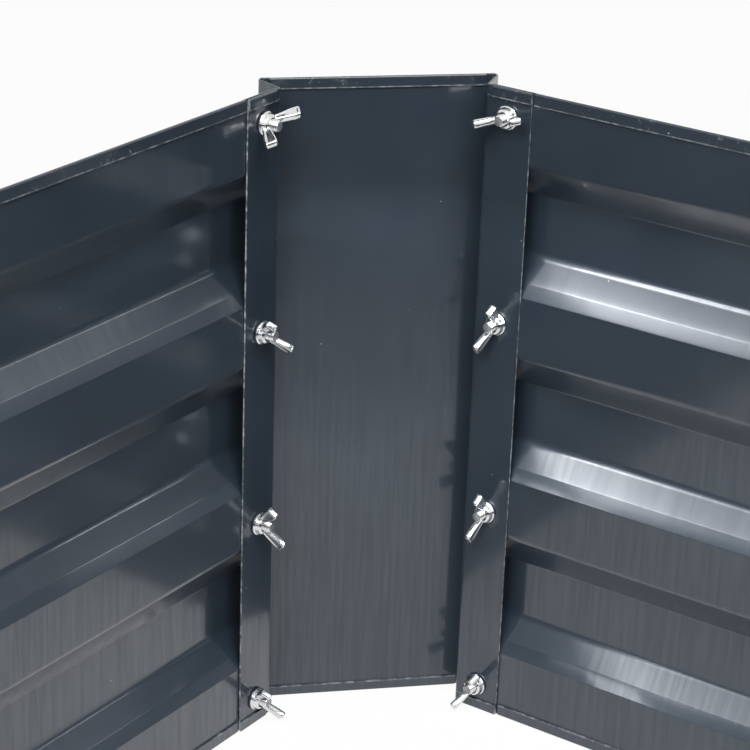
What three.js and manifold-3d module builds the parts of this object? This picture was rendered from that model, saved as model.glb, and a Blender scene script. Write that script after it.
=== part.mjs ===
// A rectangular raised garden bed of painted sheet steel, in millimetres, +Z up.
// The origin is the middle of the bed on the ground. +X runs along the long sides and +Y to the back.
// Four ribbed side panels are bolted to the flanges of four corner plates with bolts and wing nuts.
import * as THREE from "three";
import { mergeVertices } from "three/addons/utils/BufferGeometryUtils.js";
import Module from "manifold-3d";

// The bed
const BED_LENGTH = 1200; // over the corner plates, along X
const BED_WIDTH = 900; // over the corner plates, along Y
const BED_HEIGHT = 300;
const SHEET = 0.8; // thickness of the steel
const SEAT_GAP = 0.3; // between faces that are bolted together

// Corner plate, in plan. Lengths along a panel are measured from where the two flange planes cross.
const FLANGE_WIDTH = 22.3;
const FLANGE_FOLD = 62.1; // from the crossing to the fold between flange and return
const RETURN_LEAN = 4.6; // how far the return leans towards the crossing
const RETURN_DEPTH = 16; // how far the return steps outwards
const PLATE_BEND_RADIUS = 1.6; // inside radius of its folds
const PLATE_HEM = 4.9; // height of the folded edges at top and bottom
const HEM_SIDE_GAP = 2.4; // hems stop this far short of a fold

// Side panels
const PANEL_END_GAP = 2.2; // from a panel's end to the fold of the flange that covers it
const PANEL_HEM = 5.4;
const PANEL_HEM_NOTCH = 1; // from the flange's free edge to the start of the panel's hem
const RIB_COUNT = 3;
const RIB_HEIGHT = 59.8;
const LAND_HEIGHT = 28; // flat strip between two ribs
const RIB_DEPTH = 9.5; // pressed outwards, all along the panel and on under the flanges
const RIB_UPPER_SLOPE = 15; // height taken by the slope above the rib's floor
const RIB_LOWER_SLOPE = 17; // height taken by the slope below it
const RIB_LIP_HEIGHT = 6.1; // the gentler foot of the lower slope, next to the flat strip
const RIB_LIP_DEPTH = 2.8;
const RIB_BEND_RADIUS = 1.8;

// Bolts and wing nuts, size M5
const BOLT_DIAMETER = 5;
const BOLT_LENGTH = 10; // under the head
const BOLT_POINT = 0.7; // chamfer at the bolt's end
const BOLT_HEAD_DIAMETER = 10.5;
const BOLT_HEAD_HEIGHT = 2.8;
const HOLE_DIAMETER = 5.8;
const FIRST_BOLT_HEIGHT = 12.7; // from the bed's top and bottom edges to the outer bolts
const BOLT_ROWS = 4;
const MIDDLE_ROW_DROP = 2.1; // the rows between the outer ones sit this far below even spacing
const NUT_BORE_CLEARANCE = 0.3; // all round
const NUT_BASE_DIAMETER = 10.6;
const NUT_TOP_DIAMETER = 8.4;
const NUT_HUB_HEIGHT = 4;
const NUT_HEIGHT = 12.4; // to the tips of the wings
const NUT_SPAN = 24.6;
const WING_THICKNESS = 3;
const WING_TIP_RADIUS = 3.1;
const WING_FOOT = 1.2; // the wings leave the hub this far above its base
const WING_ROOT_WALL = 0.5; // from the bore to where a wing's root starts inside the hub
const WING_SHOULDER = 0.4; // from the hub's top down to the wing's upper edge
const WING_ARC_START = -Math.PI / 6; // the round tip's arc, from its outer lower side
const WING_ARC_END = (3 * Math.PI) / 4; // to its inner upper side
const ROUND_SIDES = 10;
const DOME_STEPS = 3; // rings on a bolt's domed head
const OVERLAP = 1; // how far joined pieces run into each other, and cutters past a face

// How the wings of the eight nuts at the back right corner stand, in degrees from level.
const NUT_TURNS = { long: [27, 133, 111, 126], short: [14, 72, 80, 60] };
const NUT_TURN_STEP = 67; // from each nut at the other corners to the next

const PAINT = { color: 0x3a4147, roughness: 0.35, metalness: 0.1 };
const ZINC = { color: 0xc9cccd, roughness: 0.25, metalness: 1 };

const wasm = await Module();
wasm.setup();

// ---------- solids ----------

// A closed three.js geometry as a solid that can be joined and cut.
function solid(geometry) {
  const bare = geometry.index ? geometry.toNonIndexed() : geometry.clone();
  bare.deleteAttribute("normal");
  bare.deleteAttribute("uv");
  const merged = mergeVertices(bare, 1e-4);
  return new wasm.Manifold(
    new wasm.Mesh({
      numProp: 3,
      vertProperties: new Float32Array(merged.attributes.position.array),
      triVerts: new Uint32Array(merged.index.array),
    }),
  );
}

const join = (solids) => solids.reduce((all, next) => all.add(next));
const cut = (body, cutters) => cutters.reduce((left, next) => left.subtract(next), body);

function mesh(name, body, finish) {
  const data = body.getMesh();
  const geometry = new THREE.BufferGeometry();
  geometry.setAttribute("position", new THREE.BufferAttribute(data.vertProperties, 3));
  geometry.setIndex(new THREE.BufferAttribute(data.triVerts, 1));
  geometry.computeVertexNormals();
  const made = new THREE.Mesh(geometry, new THREE.MeshStandardMaterial(finish));
  made.name = name;
  return made;
}

// A box between two corners, each given as [x, y, z].
function box(low, high) {
  const size = low.map((value, i) => high[i] - value);
  const middle = low.map((value, i) => (high[i] + value) / 2);
  return solid(new THREE.BoxGeometry(...size).translate(...middle));
}

// An outline in plan, raised along Z from low to high.
function raised(points, low, high) {
  const shape = new THREE.Shape(points);
  const options = { depth: high - low, bevelEnabled: false };
  return solid(new THREE.ExtrudeGeometry(shape, options).translate(0, 0, low));
}

// An outline drawn as (height, outwards), carried along X from low to high.
function carried(points, low, high) {
  const geometry = new THREE.ExtrudeGeometry(new THREE.Shape(points), {
    depth: high - low,
    bevelEnabled: false,
  });
  const axes = new THREE.Matrix4().makeBasis(
    new THREE.Vector3(0, 0, 1),
    new THREE.Vector3(0, 1, 0),
    new THREE.Vector3(-1, 0, 0),
  );
  return solid(geometry.applyMatrix4(axes).translate(high, 0, 0));
}

// ---------- bent sheet ----------

const point = (x, y) => new THREE.Vector2(x, y);

// The path with every inner corner rounded by an arc of the given radius, drawn with a few steps.
function rounded(path, radius, steps = 2) {
  const result = [path[0]];
  for (let i = 1; i < path.length - 1; i++) {
    const before = path[i - 1].clone().sub(path[i]).normalize();
    const after = path[i + 1].clone().sub(path[i]).normalize();
    const half = before.angleTo(after) / 2;
    const toCentre = before.clone().add(after).normalize();
    const centre = path[i].clone().addScaledVector(toCentre, radius / Math.sin(half));
    const start = path[i].clone().addScaledVector(before, radius / Math.tan(half)).sub(centre);
    const turn = Math.sign(start.cross(toCentre.clone().negate())) * (Math.PI - 2 * half);
    for (let k = 0; k <= steps; k++) {
      result.push(start.clone().rotateAround(point(0, 0), (turn * k) / steps).add(centre));
    }
  }
  result.push(path[path.length - 1]);
  return result;
}

// The path moved sideways by a distance, to the left of its direction, with mitred corners.
function offset(path, distance) {
  const sides = path.slice(1).map((end, i) => {
    const along = end.clone().sub(path[i]).normalize();
    return point(-along.y, along.x);
  });
  return path.map((corner, i) => {
    const before = sides[Math.max(i - 1, 0)];
    const after = sides[Math.min(i, sides.length - 1)];
    const share = distance / (1 + before.dot(after));
    return corner.clone().addScaledVector(before.clone().add(after), share);
  });
}

// ---------- places that several pieces share ----------

const FREE_EDGE = FLANGE_FOLD + FLANGE_WIDTH; // from the crossing to the flange's free edge
const BOLT_PLACE = FREE_EDGE - FLANGE_WIDTH / 2;
const PANEL_FACE = SHEET + SEAT_GAP; // the panel's inner face, outwards of the flange's inner face
const PANEL_BACK = PANEL_FACE + SHEET;
const HEAD_SEAT = PANEL_BACK + SEAT_GAP;

// The inner face of a corner plate in plan: flange, return, plate, return and flange.
const outerFold = FLANGE_FOLD - RETURN_LEAN;
const halfPath = [point(-FREE_EDGE, 0), point(-FLANGE_FOLD, 0), point(-outerFold, RETURN_DEPTH)];
const otherHalf = halfPath.map((corner) => point(corner.y, corner.x)).reverse();
const plateInside = rounded([...halfPath, ...otherHalf], PLATE_BEND_RADIUS);
const plateOutside = offset(plateInside, SHEET);

const CORNER_REACH = Math.max(...plateOutside.map((corner) => corner.y)); // beyond the crossing
const HALF_LENGTH = BED_LENGTH / 2 - CORNER_REACH; // to the crossing of the flange planes
const HALF_WIDTH = BED_WIDTH / 2 - CORNER_REACH;
const EDGE_LAND = (BED_HEIGHT - RIB_COUNT * RIB_HEIGHT - (RIB_COUNT - 1) * LAND_HEIGHT) / 2;

const boltPitch = (BED_HEIGHT - 2 * FIRST_BOLT_HEIGHT) / (BOLT_ROWS - 1);
const rows = Array.from({ length: BOLT_ROWS }, (_, k) => {
  const isMiddle = k > 0 && k < BOLT_ROWS - 1;
  return BED_HEIGHT - FIRST_BOLT_HEIGHT - k * boltPitch - (isMiddle ? MIDDLE_ROW_DROP : 0);
});

// A round cutter along Y, through the sheets at one bolt.
function boltHole(x, z) {
  const length = 2 * (HEAD_SEAT + OVERLAP);
  const geometry = new THREE.CylinderGeometry(
    HOLE_DIAMETER / 2,
    HOLE_DIAMETER / 2,
    length,
    ROUND_SIDES,
  );
  return solid(geometry.translate(x, 0, z));
}

// ---------- side panel ----------

// A panel stands across Y, with its middle at x = 0 and the flange's inner face at y = 0.
// Its ribs are open at both ends.
function sidePanel(name, halfCrossing) {
  const halfPanel = halfCrossing - FLANGE_FOLD - PANEL_END_GAP;
  const halfHem = halfCrossing - FREE_EDGE - PANEL_HEM_NOTCH;
  const hemFace = PANEL_FACE - SHEET;

  const hem = (low, high) => box([-halfHem, hemFace, low], [halfHem, PANEL_FACE + SHEET / 2, high]);
  const bosses = [];
  const hollows = [];
  for (let k = 0; k < RIB_COUNT; k++) {
    const bottom = EDGE_LAND + k * (RIB_HEIGHT + LAND_HEIGHT);
    const top = bottom + RIB_HEIGHT;
    const floor = PANEL_FACE + RIB_DEPTH;
    const lip = PANEL_FACE + RIB_LIP_DEPTH;
    const section = rounded(
      [
        point(bottom - RIB_LIP_HEIGHT, PANEL_FACE),
        point(bottom, PANEL_FACE),
        point(bottom + RIB_LIP_HEIGHT, lip),
        point(bottom + RIB_LOWER_SLOPE, floor),
        point(top - RIB_UPPER_SLOPE, floor),
        point(top, PANEL_FACE),
        point(top + RIB_LIP_HEIGHT, PANEL_FACE),
      ],
      RIB_BEND_RADIUS,
      1,
    );
    hollows.push(ribForm(section, PANEL_FACE - OVERLAP, halfPanel + OVERLAP));
    bosses.push(ribForm(offset(section, SHEET), PANEL_FACE, halfPanel));
  }
  const holes = rows.flatMap((height) => {
    const place = halfCrossing - BOLT_PLACE;
    return [boltHole(-place, height), boltHole(place, height)];
  });
  const sheet = box([-halfPanel, PANEL_FACE, 0], [halfPanel, PANEL_BACK, BED_HEIGHT]);
  const body = join([
    sheet,
    hem(0, PANEL_HEM),
    hem(BED_HEIGHT - PANEL_HEM, BED_HEIGHT),
    ...bosses,
  ]);
  return mesh(name, cut(body, [...hollows, ...holes]), PAINT);
}

// A solid with the rib's section, closed by a flat back at the given place and as long to either side.
function ribForm(section, back, halfLength) {
  const last = section[section.length - 1];
  const outline = [...section, point(last.x, back), point(section[0].x, back)];
  return carried(outline, -halfLength, halfLength);
}

// ---------- corner plate ----------

// The plate stands at the crossing, with its flanges along -X and -Y and its face towards +X +Y.
function cornerPlate(name) {
  const body = raised([...plateInside, ...plateOutside.toReversed()], 0, BED_HEIGHT);

  // A folded edge lies on the inner face of each flat stretch that the photograph shows with one.
  const hemStrip = (from, to) => {
    const along = to.clone().sub(from).normalize();
    const start = from.clone().addScaledVector(along, from === halfPath[0] ? 0 : HEM_SIDE_GAP);
    const end = to.clone().addScaledVector(along, -HEM_SIDE_GAP);
    const face = [start, end];
    const strip = [...offset(face, SHEET / 2), ...offset(face, -SHEET).reverse()];
    return [
      raised(strip, 0, PLATE_HEM),
      raised(strip, BED_HEIGHT - PLATE_HEM, BED_HEIGHT),
    ];
  };
  const mirror = (solidBody) => solidBody.mirror([1, -1, 0]);
  const flangeHems = hemStrip(halfPath[0], halfPath[1]);
  const hems = [
    ...flangeHems,
    ...flangeHems.map(mirror),
    ...hemStrip(halfPath[2], otherHalf[0]),
  ];
  const flangeHoles = rows.map((height) => boltHole(-BOLT_PLACE, height));
  return mesh(name, cut(join([body, ...hems]), [...flangeHoles, ...flangeHoles.map(mirror)]), PAINT);
}

// ---------- bolt and wing nut ----------

// Both stand along Y: the bolt's head at negative y, its end and the nut's wings towards positive y.
// y = 0 is the flange's inner face, on which the nut sits.
const lathe = (profile, sides = ROUND_SIDES) => solid(new THREE.LatheGeometry(profile, sides));

function boltSolid() {
  const radius = BOLT_DIAMETER / 2;
  const seat = -HEAD_SEAT;
  const tip = seat + BOLT_LENGTH;
  const headRadius = BOLT_HEAD_DIAMETER / 2;
  const dome = Array.from({ length: DOME_STEPS }, (_, k) => {
    const angle = ((k + 1) * Math.PI) / 2 / DOME_STEPS;
    const out = headRadius * Math.sin(angle);
    return point(out, seat - BOLT_HEAD_HEIGHT * Math.cos(angle));
  });
  return lathe([
    point(0, seat - BOLT_HEAD_HEIGHT),
    ...dome,
    point(radius, seat),
    point(radius, tip - BOLT_POINT),
    point(radius - BOLT_POINT, tip),
    point(0, tip),
  ]);
}

// One wing, flat in the XY plane: it rises from the hub and ends in a round tip.
function wingSolid() {
  const base = SEAT_GAP + WING_FOOT;
  const top = SEAT_GAP + NUT_HEIGHT;
  const tipX = NUT_SPAN / 2 - WING_TIP_RADIUS;
  const tipY = top - WING_TIP_RADIUS;
  const root = BOLT_DIAMETER / 2 + NUT_BORE_CLEARANCE + WING_ROOT_WALL;
  const shape = new THREE.Shape();
  shape.moveTo(root, base);
  shape.lineTo(NUT_BASE_DIAMETER / 2, base);
  shape.absarc(tipX, tipY, WING_TIP_RADIUS, WING_ARC_START, WING_ARC_END, false);
  shape.lineTo(root, SEAT_GAP + NUT_HUB_HEIGHT - WING_SHOULDER);
  const options = { depth: WING_THICKNESS, bevelEnabled: false, curveSegments: 3 };
  return solid(new THREE.ExtrudeGeometry(shape, options).translate(0, 0, -WING_THICKNESS / 2));
}

function wingNutSolid(boreRadius) {
  const baseRadius = NUT_BASE_DIAMETER / 2;
  const topRadius = NUT_TOP_DIAMETER / 2;
  const top = SEAT_GAP + NUT_HUB_HEIGHT;
  const wing = wingSolid();
  const hub = lathe([
    point(0, SEAT_GAP),
    point(baseRadius, SEAT_GAP),
    point(baseRadius, SEAT_GAP + WING_FOOT),
    point(topRadius, top),
    point(0, top),
  ]);
  const nut = join([hub, wing, wing.mirror([1, 0, 0])]);
  if (!boreRadius) return nut;
  const bore = new THREE.CylinderGeometry(boreRadius, boreRadius, 4 * NUT_HEIGHT, ROUND_SIDES);
  return cut(nut, [solid(bore)]);
}

const bolt = boltSolid();
const wingNut = wingNutSolid(BOLT_DIAMETER / 2 + NUT_BORE_CLEARANCE);
const turned = (body, degrees) => body.rotate([0, degrees, 0]);
const boltedSet = (degrees) => join([turned(wingNutSolid(0), degrees), bolt]);

// ---------- the assembly ----------

const group = new THREE.Group();

const panels = [
  { name: "back_panel", half: HALF_LENGTH, away: HALF_WIDTH, turn: 0 },
  { name: "left_panel", half: HALF_WIDTH, away: HALF_LENGTH, turn: 1 },
  { name: "front_panel", half: HALF_LENGTH, away: HALF_WIDTH, turn: 2 },
  { name: "right_panel", half: HALF_WIDTH, away: HALF_LENGTH, turn: 3 },
];
for (const { name, half, away, turn } of panels) {
  const side = new THREE.Group();
  side.rotation.z = (turn * Math.PI) / 2;
  const panel = sidePanel(name, half);
  panel.position.y = away;
  side.add(panel);
  group.add(side);
}

// Each corner's flanges: the first lies along -X and the second along -Y before the corner is turned.
const corners = [
  { name: "back_right", x: HALF_LENGTH, y: HALF_WIDTH, turn: 0, first: "long", second: "short" },
  { name: "back_left", x: -HALF_LENGTH, y: HALF_WIDTH, turn: 1, first: "short", second: "long" },
  { name: "front_left", x: -HALF_LENGTH, y: -HALF_WIDTH, turn: 2, first: "long", second: "short" },
  { name: "front_right", x: HALF_LENGTH, y: -HALF_WIDTH, turn: 3, first: "short", second: "long" },
];
corners.forEach((corner, c) => {
  const frame = new THREE.Group();
  frame.position.set(corner.x, corner.y, 0);
  frame.rotation.z = (corner.turn * Math.PI) / 2;
  frame.add(cornerPlate("corner_plate_" + corner.name));
  [corner.first, corner.second].forEach((side, s) => {
    rows.forEach((height, row) => {
      const seat = new THREE.Group();
      const end = corner.name + "_" + side + "_" + (row + 1);
      seat.position.set(s === 0 ? -BOLT_PLACE : 0, s === 0 ? 0 : -BOLT_PLACE, height);
      // the bolt points into the bed: along -Y on the first flange and -X on the second
      seat.rotation.z = s === 0 ? Math.PI : Math.PI / 2;
      if (c === 0) {
        seat.add(mesh("bolt_" + end, bolt, ZINC));
        seat.add(mesh("wing_nut_" + end, turned(wingNut, NUT_TURNS[side][row]), ZINC));
      } else {
        // nuts tightened by hand stop anywhere, so each one is turned on from the last
        const degrees = (NUT_TURN_STEP * (row + BOLT_ROWS * (s + 2 * c))) % 180;
        seat.add(mesh("bolt_and_nut_" + end, boltedSet(degrees), ZINC));
      }
      frame.add(seat);
    });
  });
  group.add(frame);
});

export default group;
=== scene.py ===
# %% [markdown]
# # A raised garden bed of painted sheet steel
# The real object is a rectangular bed without a bottom, sold flat and bolted together at home. Four side
# panels have three ribs each, pressed outwards to stiffen them. Four corner plates stand at 45 degrees in
# the corners, and their flanges lie over the panels' ends, held by bolts and wing nuts. The CAD model has
# every piece in its place. This script gives each one its bends, folded edges, thread and finish.

# %% Load the CAD model as a fixed frame
import bpy
import numpy as np
from mathutils import Matrix, Vector


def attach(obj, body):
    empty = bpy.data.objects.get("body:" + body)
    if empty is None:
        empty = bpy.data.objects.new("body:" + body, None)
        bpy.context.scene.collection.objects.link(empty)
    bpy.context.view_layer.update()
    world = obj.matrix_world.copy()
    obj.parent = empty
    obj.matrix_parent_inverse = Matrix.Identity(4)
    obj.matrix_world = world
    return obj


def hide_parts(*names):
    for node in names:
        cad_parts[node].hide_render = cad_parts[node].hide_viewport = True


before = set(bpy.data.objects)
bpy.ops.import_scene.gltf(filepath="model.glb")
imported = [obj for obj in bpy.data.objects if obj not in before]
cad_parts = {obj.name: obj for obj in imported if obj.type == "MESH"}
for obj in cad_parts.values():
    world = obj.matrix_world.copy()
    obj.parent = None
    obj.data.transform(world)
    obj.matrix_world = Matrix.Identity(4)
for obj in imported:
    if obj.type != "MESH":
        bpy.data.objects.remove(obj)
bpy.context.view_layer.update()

# %% [markdown]
# ## The camera
# It looks down into one inside corner from the middle of the bed, with a long lens. Its place, heading,
# tilt and slight roll come from fitting 40 points of the model to the picture, whose corner is really
# opened a few degrees wider than the square corner of a rectangular bed.

# %% Place the camera
CAMERA_PLACE = (-0.2788, -0.1543, 0.5974)
CAMERA_HEADING = np.radians(33.82)  # from +X towards +Y
CAMERA_TILT = np.radians(23.20)  # downwards
CAMERA_ROLL = np.radians(2.07)
SENSOR_WIDTH, FOCAL_LENGTH = 36, 118.94  # millimetres

level = np.array([np.cos(CAMERA_HEADING), np.sin(CAMERA_HEADING), 0])
forward = level * np.cos(CAMERA_TILT) - np.array([0, 0, np.sin(CAMERA_TILT)])
level_right = np.array([level[1], -level[0], 0])
level_up = np.cross(level_right, forward)
right = level_right * np.cos(CAMERA_ROLL) + level_up * np.sin(CAMERA_ROLL)
up = level_up * np.cos(CAMERA_ROLL) - level_right * np.sin(CAMERA_ROLL)

camera = bpy.data.objects.new("camera", bpy.data.cameras.new("camera"))
camera.data.sensor_width = SENSOR_WIDTH
camera.data.lens = FOCAL_LENGTH
turn = Matrix([list(row) for row in np.column_stack([right, up, -forward])]).to_4x4()
camera.matrix_world = Matrix.Translation(CAMERA_PLACE) @ turn
bpy.context.scene.collection.objects.link(camera)
bpy.context.scene.camera = camera
bpy.context.scene.view_settings.view_transform = "Standard"
print("camera looks along", forward.round(3))

# %% [markdown]
# ## Nodes and colours
# Colours are written as sRGB hex, as a paint maker's colour card would give them, and a shader wants them
# linear. One small function adds a node with its settings and links, so each finish below reads as a recipe.

# %% Two small helpers
def linear(hex_colour):
    """sRGB to linear: (c / 12.92) for the darkest values, ((c + 0.055) / 1.055) ** 2.4 for the rest."""
    c = np.array([int(hex_colour[i:i + 2], 16) for i in (1, 3, 5)]) / 255
    return [*np.where(c <= 0.04045, c / 12.92, ((c + 0.055) / 1.055) ** 2.4), 1.0]


def add(tree, kind, inputs=None, **settings):
    """Adds one node. inputs gives a value, or another node's output, for each input by name or number."""
    node = tree.nodes.new(kind)
    for name, value in settings.items():
        setattr(node, name, value)
    for name, value in (inputs or {}).items():
        if isinstance(value, bpy.types.NodeSocket):
            tree.links.new(value, node.inputs[name])
        else:
            node.inputs[name].default_value = value
    return node


def empty_tree(owner):
    """A cleared node tree on a material or a world."""
    owner.use_nodes = True
    owner.node_tree.nodes.clear()
    return owner.node_tree

# %% [markdown]
# ## The studio
# Catalogue pictures like this one are taken on a white sweep under soft boxes. A camera ray, and a ray
# mirrored by paint or zinc, sees plain white behind the bed. The light itself is weaker, so that the colours
# keep their value. One soft box hangs high on the left and a broader one overhead.

# %% World
def sees_white(tree):
    """1 for camera, mirrored and transmitted rays, 0 for the rays that only carry light."""
    path = add(tree, "ShaderNodeLightPath")
    first = add(tree, "ShaderNodeMath", {0: path.outputs["Is Camera Ray"], 1: path.outputs["Is Glossy Ray"]},
                operation="MAXIMUM")
    return add(tree, "ShaderNodeMath", {0: first.outputs[0], 1: path.outputs["Is Transmission Ray"]},
               operation="MAXIMUM").outputs[0]


WORLD_LIGHT = 0.22
world = bpy.data.worlds.new("white_studio")
bpy.context.scene.world = world
tree = empty_tree(world)
light = add(tree, "ShaderNodeBackground", {"Color": (1, 1, 1, 1), "Strength": WORLD_LIGHT})
white = add(tree, "ShaderNodeBackground", {"Color": (1, 1, 1, 1), "Strength": 1.0})
mixed = add(tree, "ShaderNodeMixShader", {0: sees_white(tree), 1: light.outputs[0], 2: white.outputs[0]})
add(tree, "ShaderNodeOutputWorld", {"Surface": mixed.outputs[0]})

# %% Soft boxes
def soft_box(name, place, aim, size, watts):
    """A rectangular lamp at place, with its face turned to aim. Metres and watts."""
    data = bpy.data.lights.new(name, "AREA")
    data.shape = "RECTANGLE"
    data.size, data.size_y = size
    data.energy = watts
    lamp = bpy.data.objects.new(name, data)
    direction = Vector(aim) - Vector(place)
    lamp.matrix_world = Matrix.Translation(place) @ direction.to_track_quat("-Z", "Y").to_matrix().to_4x4()
    bpy.context.scene.collection.objects.link(lamp)


soft_box("left_soft_box", (-1.1, 0.1, 1.6), (0.4, 0.2, 0.1), (0.9, 0.7), 28)
soft_box("overhead_soft_box", (-0.2, -0.9, 2.3), (0.2, 0.1, 0.1), (1.4, 1.0), 46)

# %% Floor
def grid_object(name, points, closed_rows=False, closed_columns=False):
    """A mesh from an array of points (rows, columns, 3): each cell of the grid is one face. A closed
    direction joins its last points to its first."""
    rows, columns = points.shape[:2]
    r = np.arange(rows if closed_rows else rows - 1)[:, None]
    c = np.arange(columns if closed_columns else columns - 1)[None, :]
    at = lambda i, j: (i % rows) * columns + j % columns
    faces = np.stack([at(r, c), at(r, c + 1), at(r + 1, c + 1), at(r + 1, c)], axis=-1).reshape(-1, 4)
    mesh = bpy.data.meshes.new(name)
    mesh.from_pydata(points.reshape(-1, 3).tolist(), [], faces.tolist())
    made = bpy.data.objects.new(name, mesh)
    bpy.context.scene.collection.objects.link(made)
    return made


FLOOR_HALF = 8.0
FLOOR_GLOW = 0.93  # the share of plain white that a camera sees there, the rest is lit and keeps the shadow
side = np.linspace(-FLOOR_HALF, FLOOR_HALF, 5)
floor_x, floor_y = np.meshgrid(side, side)
floor = grid_object("studio_floor", np.stack([floor_x, floor_y, np.zeros_like(floor_x)], axis=-1))

material = bpy.data.materials.new("white_sweep")
tree = empty_tree(material)
matt = add(tree, "ShaderNodeBsdfDiffuse", {"Color": linear("#F4F4F2")})
glow = add(tree, "ShaderNodeEmission", {"Color": (1, 1, 1, 1), "Strength": 1.0})
share = add(tree, "ShaderNodeMath", {0: sees_white(tree), 1: FLOOR_GLOW}, operation="MULTIPLY")
mixed = add(tree, "ShaderNodeMixShader", {0: share.outputs[0], 1: matt.outputs[0], 2: glow.outputs[0]})
add(tree, "ShaderNodeOutputMaterial", {"Surface": mixed.outputs[0]})
floor.data.materials.append(material)

# %% [markdown]
# ## Cards for the gloss
# Glossy sheet is lit as silverware is: by what it mirrors. A photographer hangs small bright cards where the
# ribs' lower slopes send the camera's rays, and lays a grey one on the floor for the wide plate. The cards
# here are seen by mirrored rays alone, so they cast no light or shadow. Three bright ones hang level, one
# over each rib of the right panel, and three dim ones in front of the ribs of the left panel. They are clear
# from above.

# %% A card that only mirrored rays see
def mirror_card(name, points, glow, from_below):
    """A card from a grid of points (rows, columns, 3), glowing by glow (rows, columns), written on it as the
    attribute glow. A card that glows from below is clear from above."""
    card = grid_object(name, points)
    card.visible_camera = card.visible_diffuse = card.visible_shadow = False
    card.visible_transmission = card.visible_volume_scatter = False
    attribute = card.data.attributes.new("glow", "FLOAT", "POINT")
    attribute.data.foreach_set("value", np.asarray(glow, np.float32).ravel())
    material = bpy.data.materials.new(name)
    tree = empty_tree(material)
    strength = add(tree, "ShaderNodeAttribute", attribute_name="glow")
    lit = add(tree, "ShaderNodeEmission", {"Color": linear("#F6F9FF"), "Strength": strength.outputs["Fac"]})
    surface = lit
    if from_below:
        side = add(tree, "ShaderNodeNewGeometry")
        clear = add(tree, "ShaderNodeBsdfTransparent")
        surface = add(tree, "ShaderNodeMixShader", {0: side.outputs["Backfacing"], 1: clear.outputs[0],
                                                    2: lit.outputs[0]})
    add(tree, "ShaderNodeOutputMaterial", {"Surface": surface.outputs[0]})
    material.cycles.emission_sampling = "NONE"  # only the mirrored rays themselves find it
    card.data.materials.append(material)


def bright_card(name, height, first, zone_glow, places, place_glow):
    """A level card over one rib of the right panel. u is the distance from the panel over that at which the
    slope's first ray arrives. The glow is the product of a line of values over u and one along Y."""
    u, y = np.meshgrid(np.linspace(6.0, 0.5, 34), np.linspace(-0.42, 0.43, 60))
    glow = np.interp(u, ZONES, zone_glow) * np.interp(y, places, place_glow)
    points = np.stack([PANEL_PLACE[0] - u * first, y, np.full_like(u, height)], axis=-1)
    mirror_card(name, points, glow, from_below=True)


SHADE_GLOW = 0.3  # what a dim card glows away from its patch and its strip
CARD_RISE = 0.030  # how far a dim card hangs above its rib's foot, until it sinks


def shade(name, low, end, patch, line, line_from, line_reach):
    """A dim card in front of one rib of the left panel, which keeps the bright ones out of its slope. It
    sinks towards the corner. patch is its glow next to the panel, line that of a strip which the rib's lower
    bend mirrors from line_from onwards, at the two reaches of line_reach. reach is a distance from the panel,
    which shrinks as the card sinks to the bend's own height."""
    x, y = np.meshgrid(np.linspace(-0.1, end, 50), np.linspace(0.25, 0.434, 90))
    rise = np.interp(x, [0.50, 0.54], [CARD_RISE, 0.022])
    reach = (PANEL_PLACE[1] - y) * (CARD_RISE - BEND_RISE) / (rise - BEND_RISE)
    first, last = line_reach
    strip = np.interp(reach, [first - 0.003, first, last, last + 0.003], [0, 1, 1, 0])
    strip *= np.interp(x, [line_from, line_from + 0.01, 0.525, 0.53], [0, 1, 1, 0])
    near = np.interp(reach, [first - 0.008, first - 0.004], [1, 0]) * np.interp(x, [0.45, 0.50], [1, 0])
    glow = SHADE_GLOW + (patch - SHADE_GLOW) * near + (line - SHADE_GLOW) * strip
    mirror_card(name, np.stack([x, y, low + rise], axis=-1), glow, from_below=True)

# %% The cards
PANEL_PLACE = (0.5846, 0.4346)  # the flanges' inner faces, along X and along Y
BEND_RISE = 0.017  # a rib's lower bend lies this far above its foot
# slope, crease, foot and beyond, with steps between
ZONES = [0.5, 0.75, 0.9, 1.6, 1.75, 2.7, 2.85, 3.7, 3.9, 6.0]
bright_card("first_rib_card", 0.2509, 0.0255, [0.3, 0.3, 1.25, 1.25, 8, 8, 2.0, 2.0, 7, 7],
            [-0.1, 0.27, 0.296, 0.332, 0.362, 0.375, 0.40], [1.0, 2.0, 2.4, 3.6, 4.2, 0.6, 0.3])
bright_card("second_rib_card", 0.1631, 0.031, [0.3, 0.3, 1.3, 1.3, 2.8, 2.8, 0.5, 0.5, 0.6, 0.6],
            [-0.1, 0.26, 0.29, 0.325, 0.358, 0.372, 0.39], [1.0, 3.0, 3.6, 6.5, 9.5, 0.8, 0.3])
bright_card("third_rib_card", 0.0753, 0.038, [0.3, 0.3, 1.2, 1.2, 1.5, 1.5, 0.8, 0.8, 0.4, 0.4],
            [-0.1, 0.255, 0.285, 0.318, 0.326, 0.336, 0.39], [1.0, 3.0, 3.8, 6.5, 5.0, 0.7, 0.3])
shade("first_rib_shade", 0.2079, 0.540, 1.05, 5.0, 0.10, (0.046, 0.062))
shade("second_rib_shade", 0.1201, 0.527, 0.5, 14.0, 0.47, (0.075, 0.095))
shade("third_rib_shade", 0.0323, 0.512, 0.6, 9.0, 0.42, (0.090, 0.114))

across, deep = np.meshgrid(np.linspace(-0.30, 0.42, 16), np.linspace(-0.44, 0.20, 16))
away = across * 0.574 + deep * 0.819  # along the middle of the picture
mirror_card("grey_floor_card", np.stack([across, deep, np.full_like(away, 0.002)], axis=-1),
            np.clip((away + 0.12) / 0.60, 0, 0.9), from_below=False)

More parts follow.
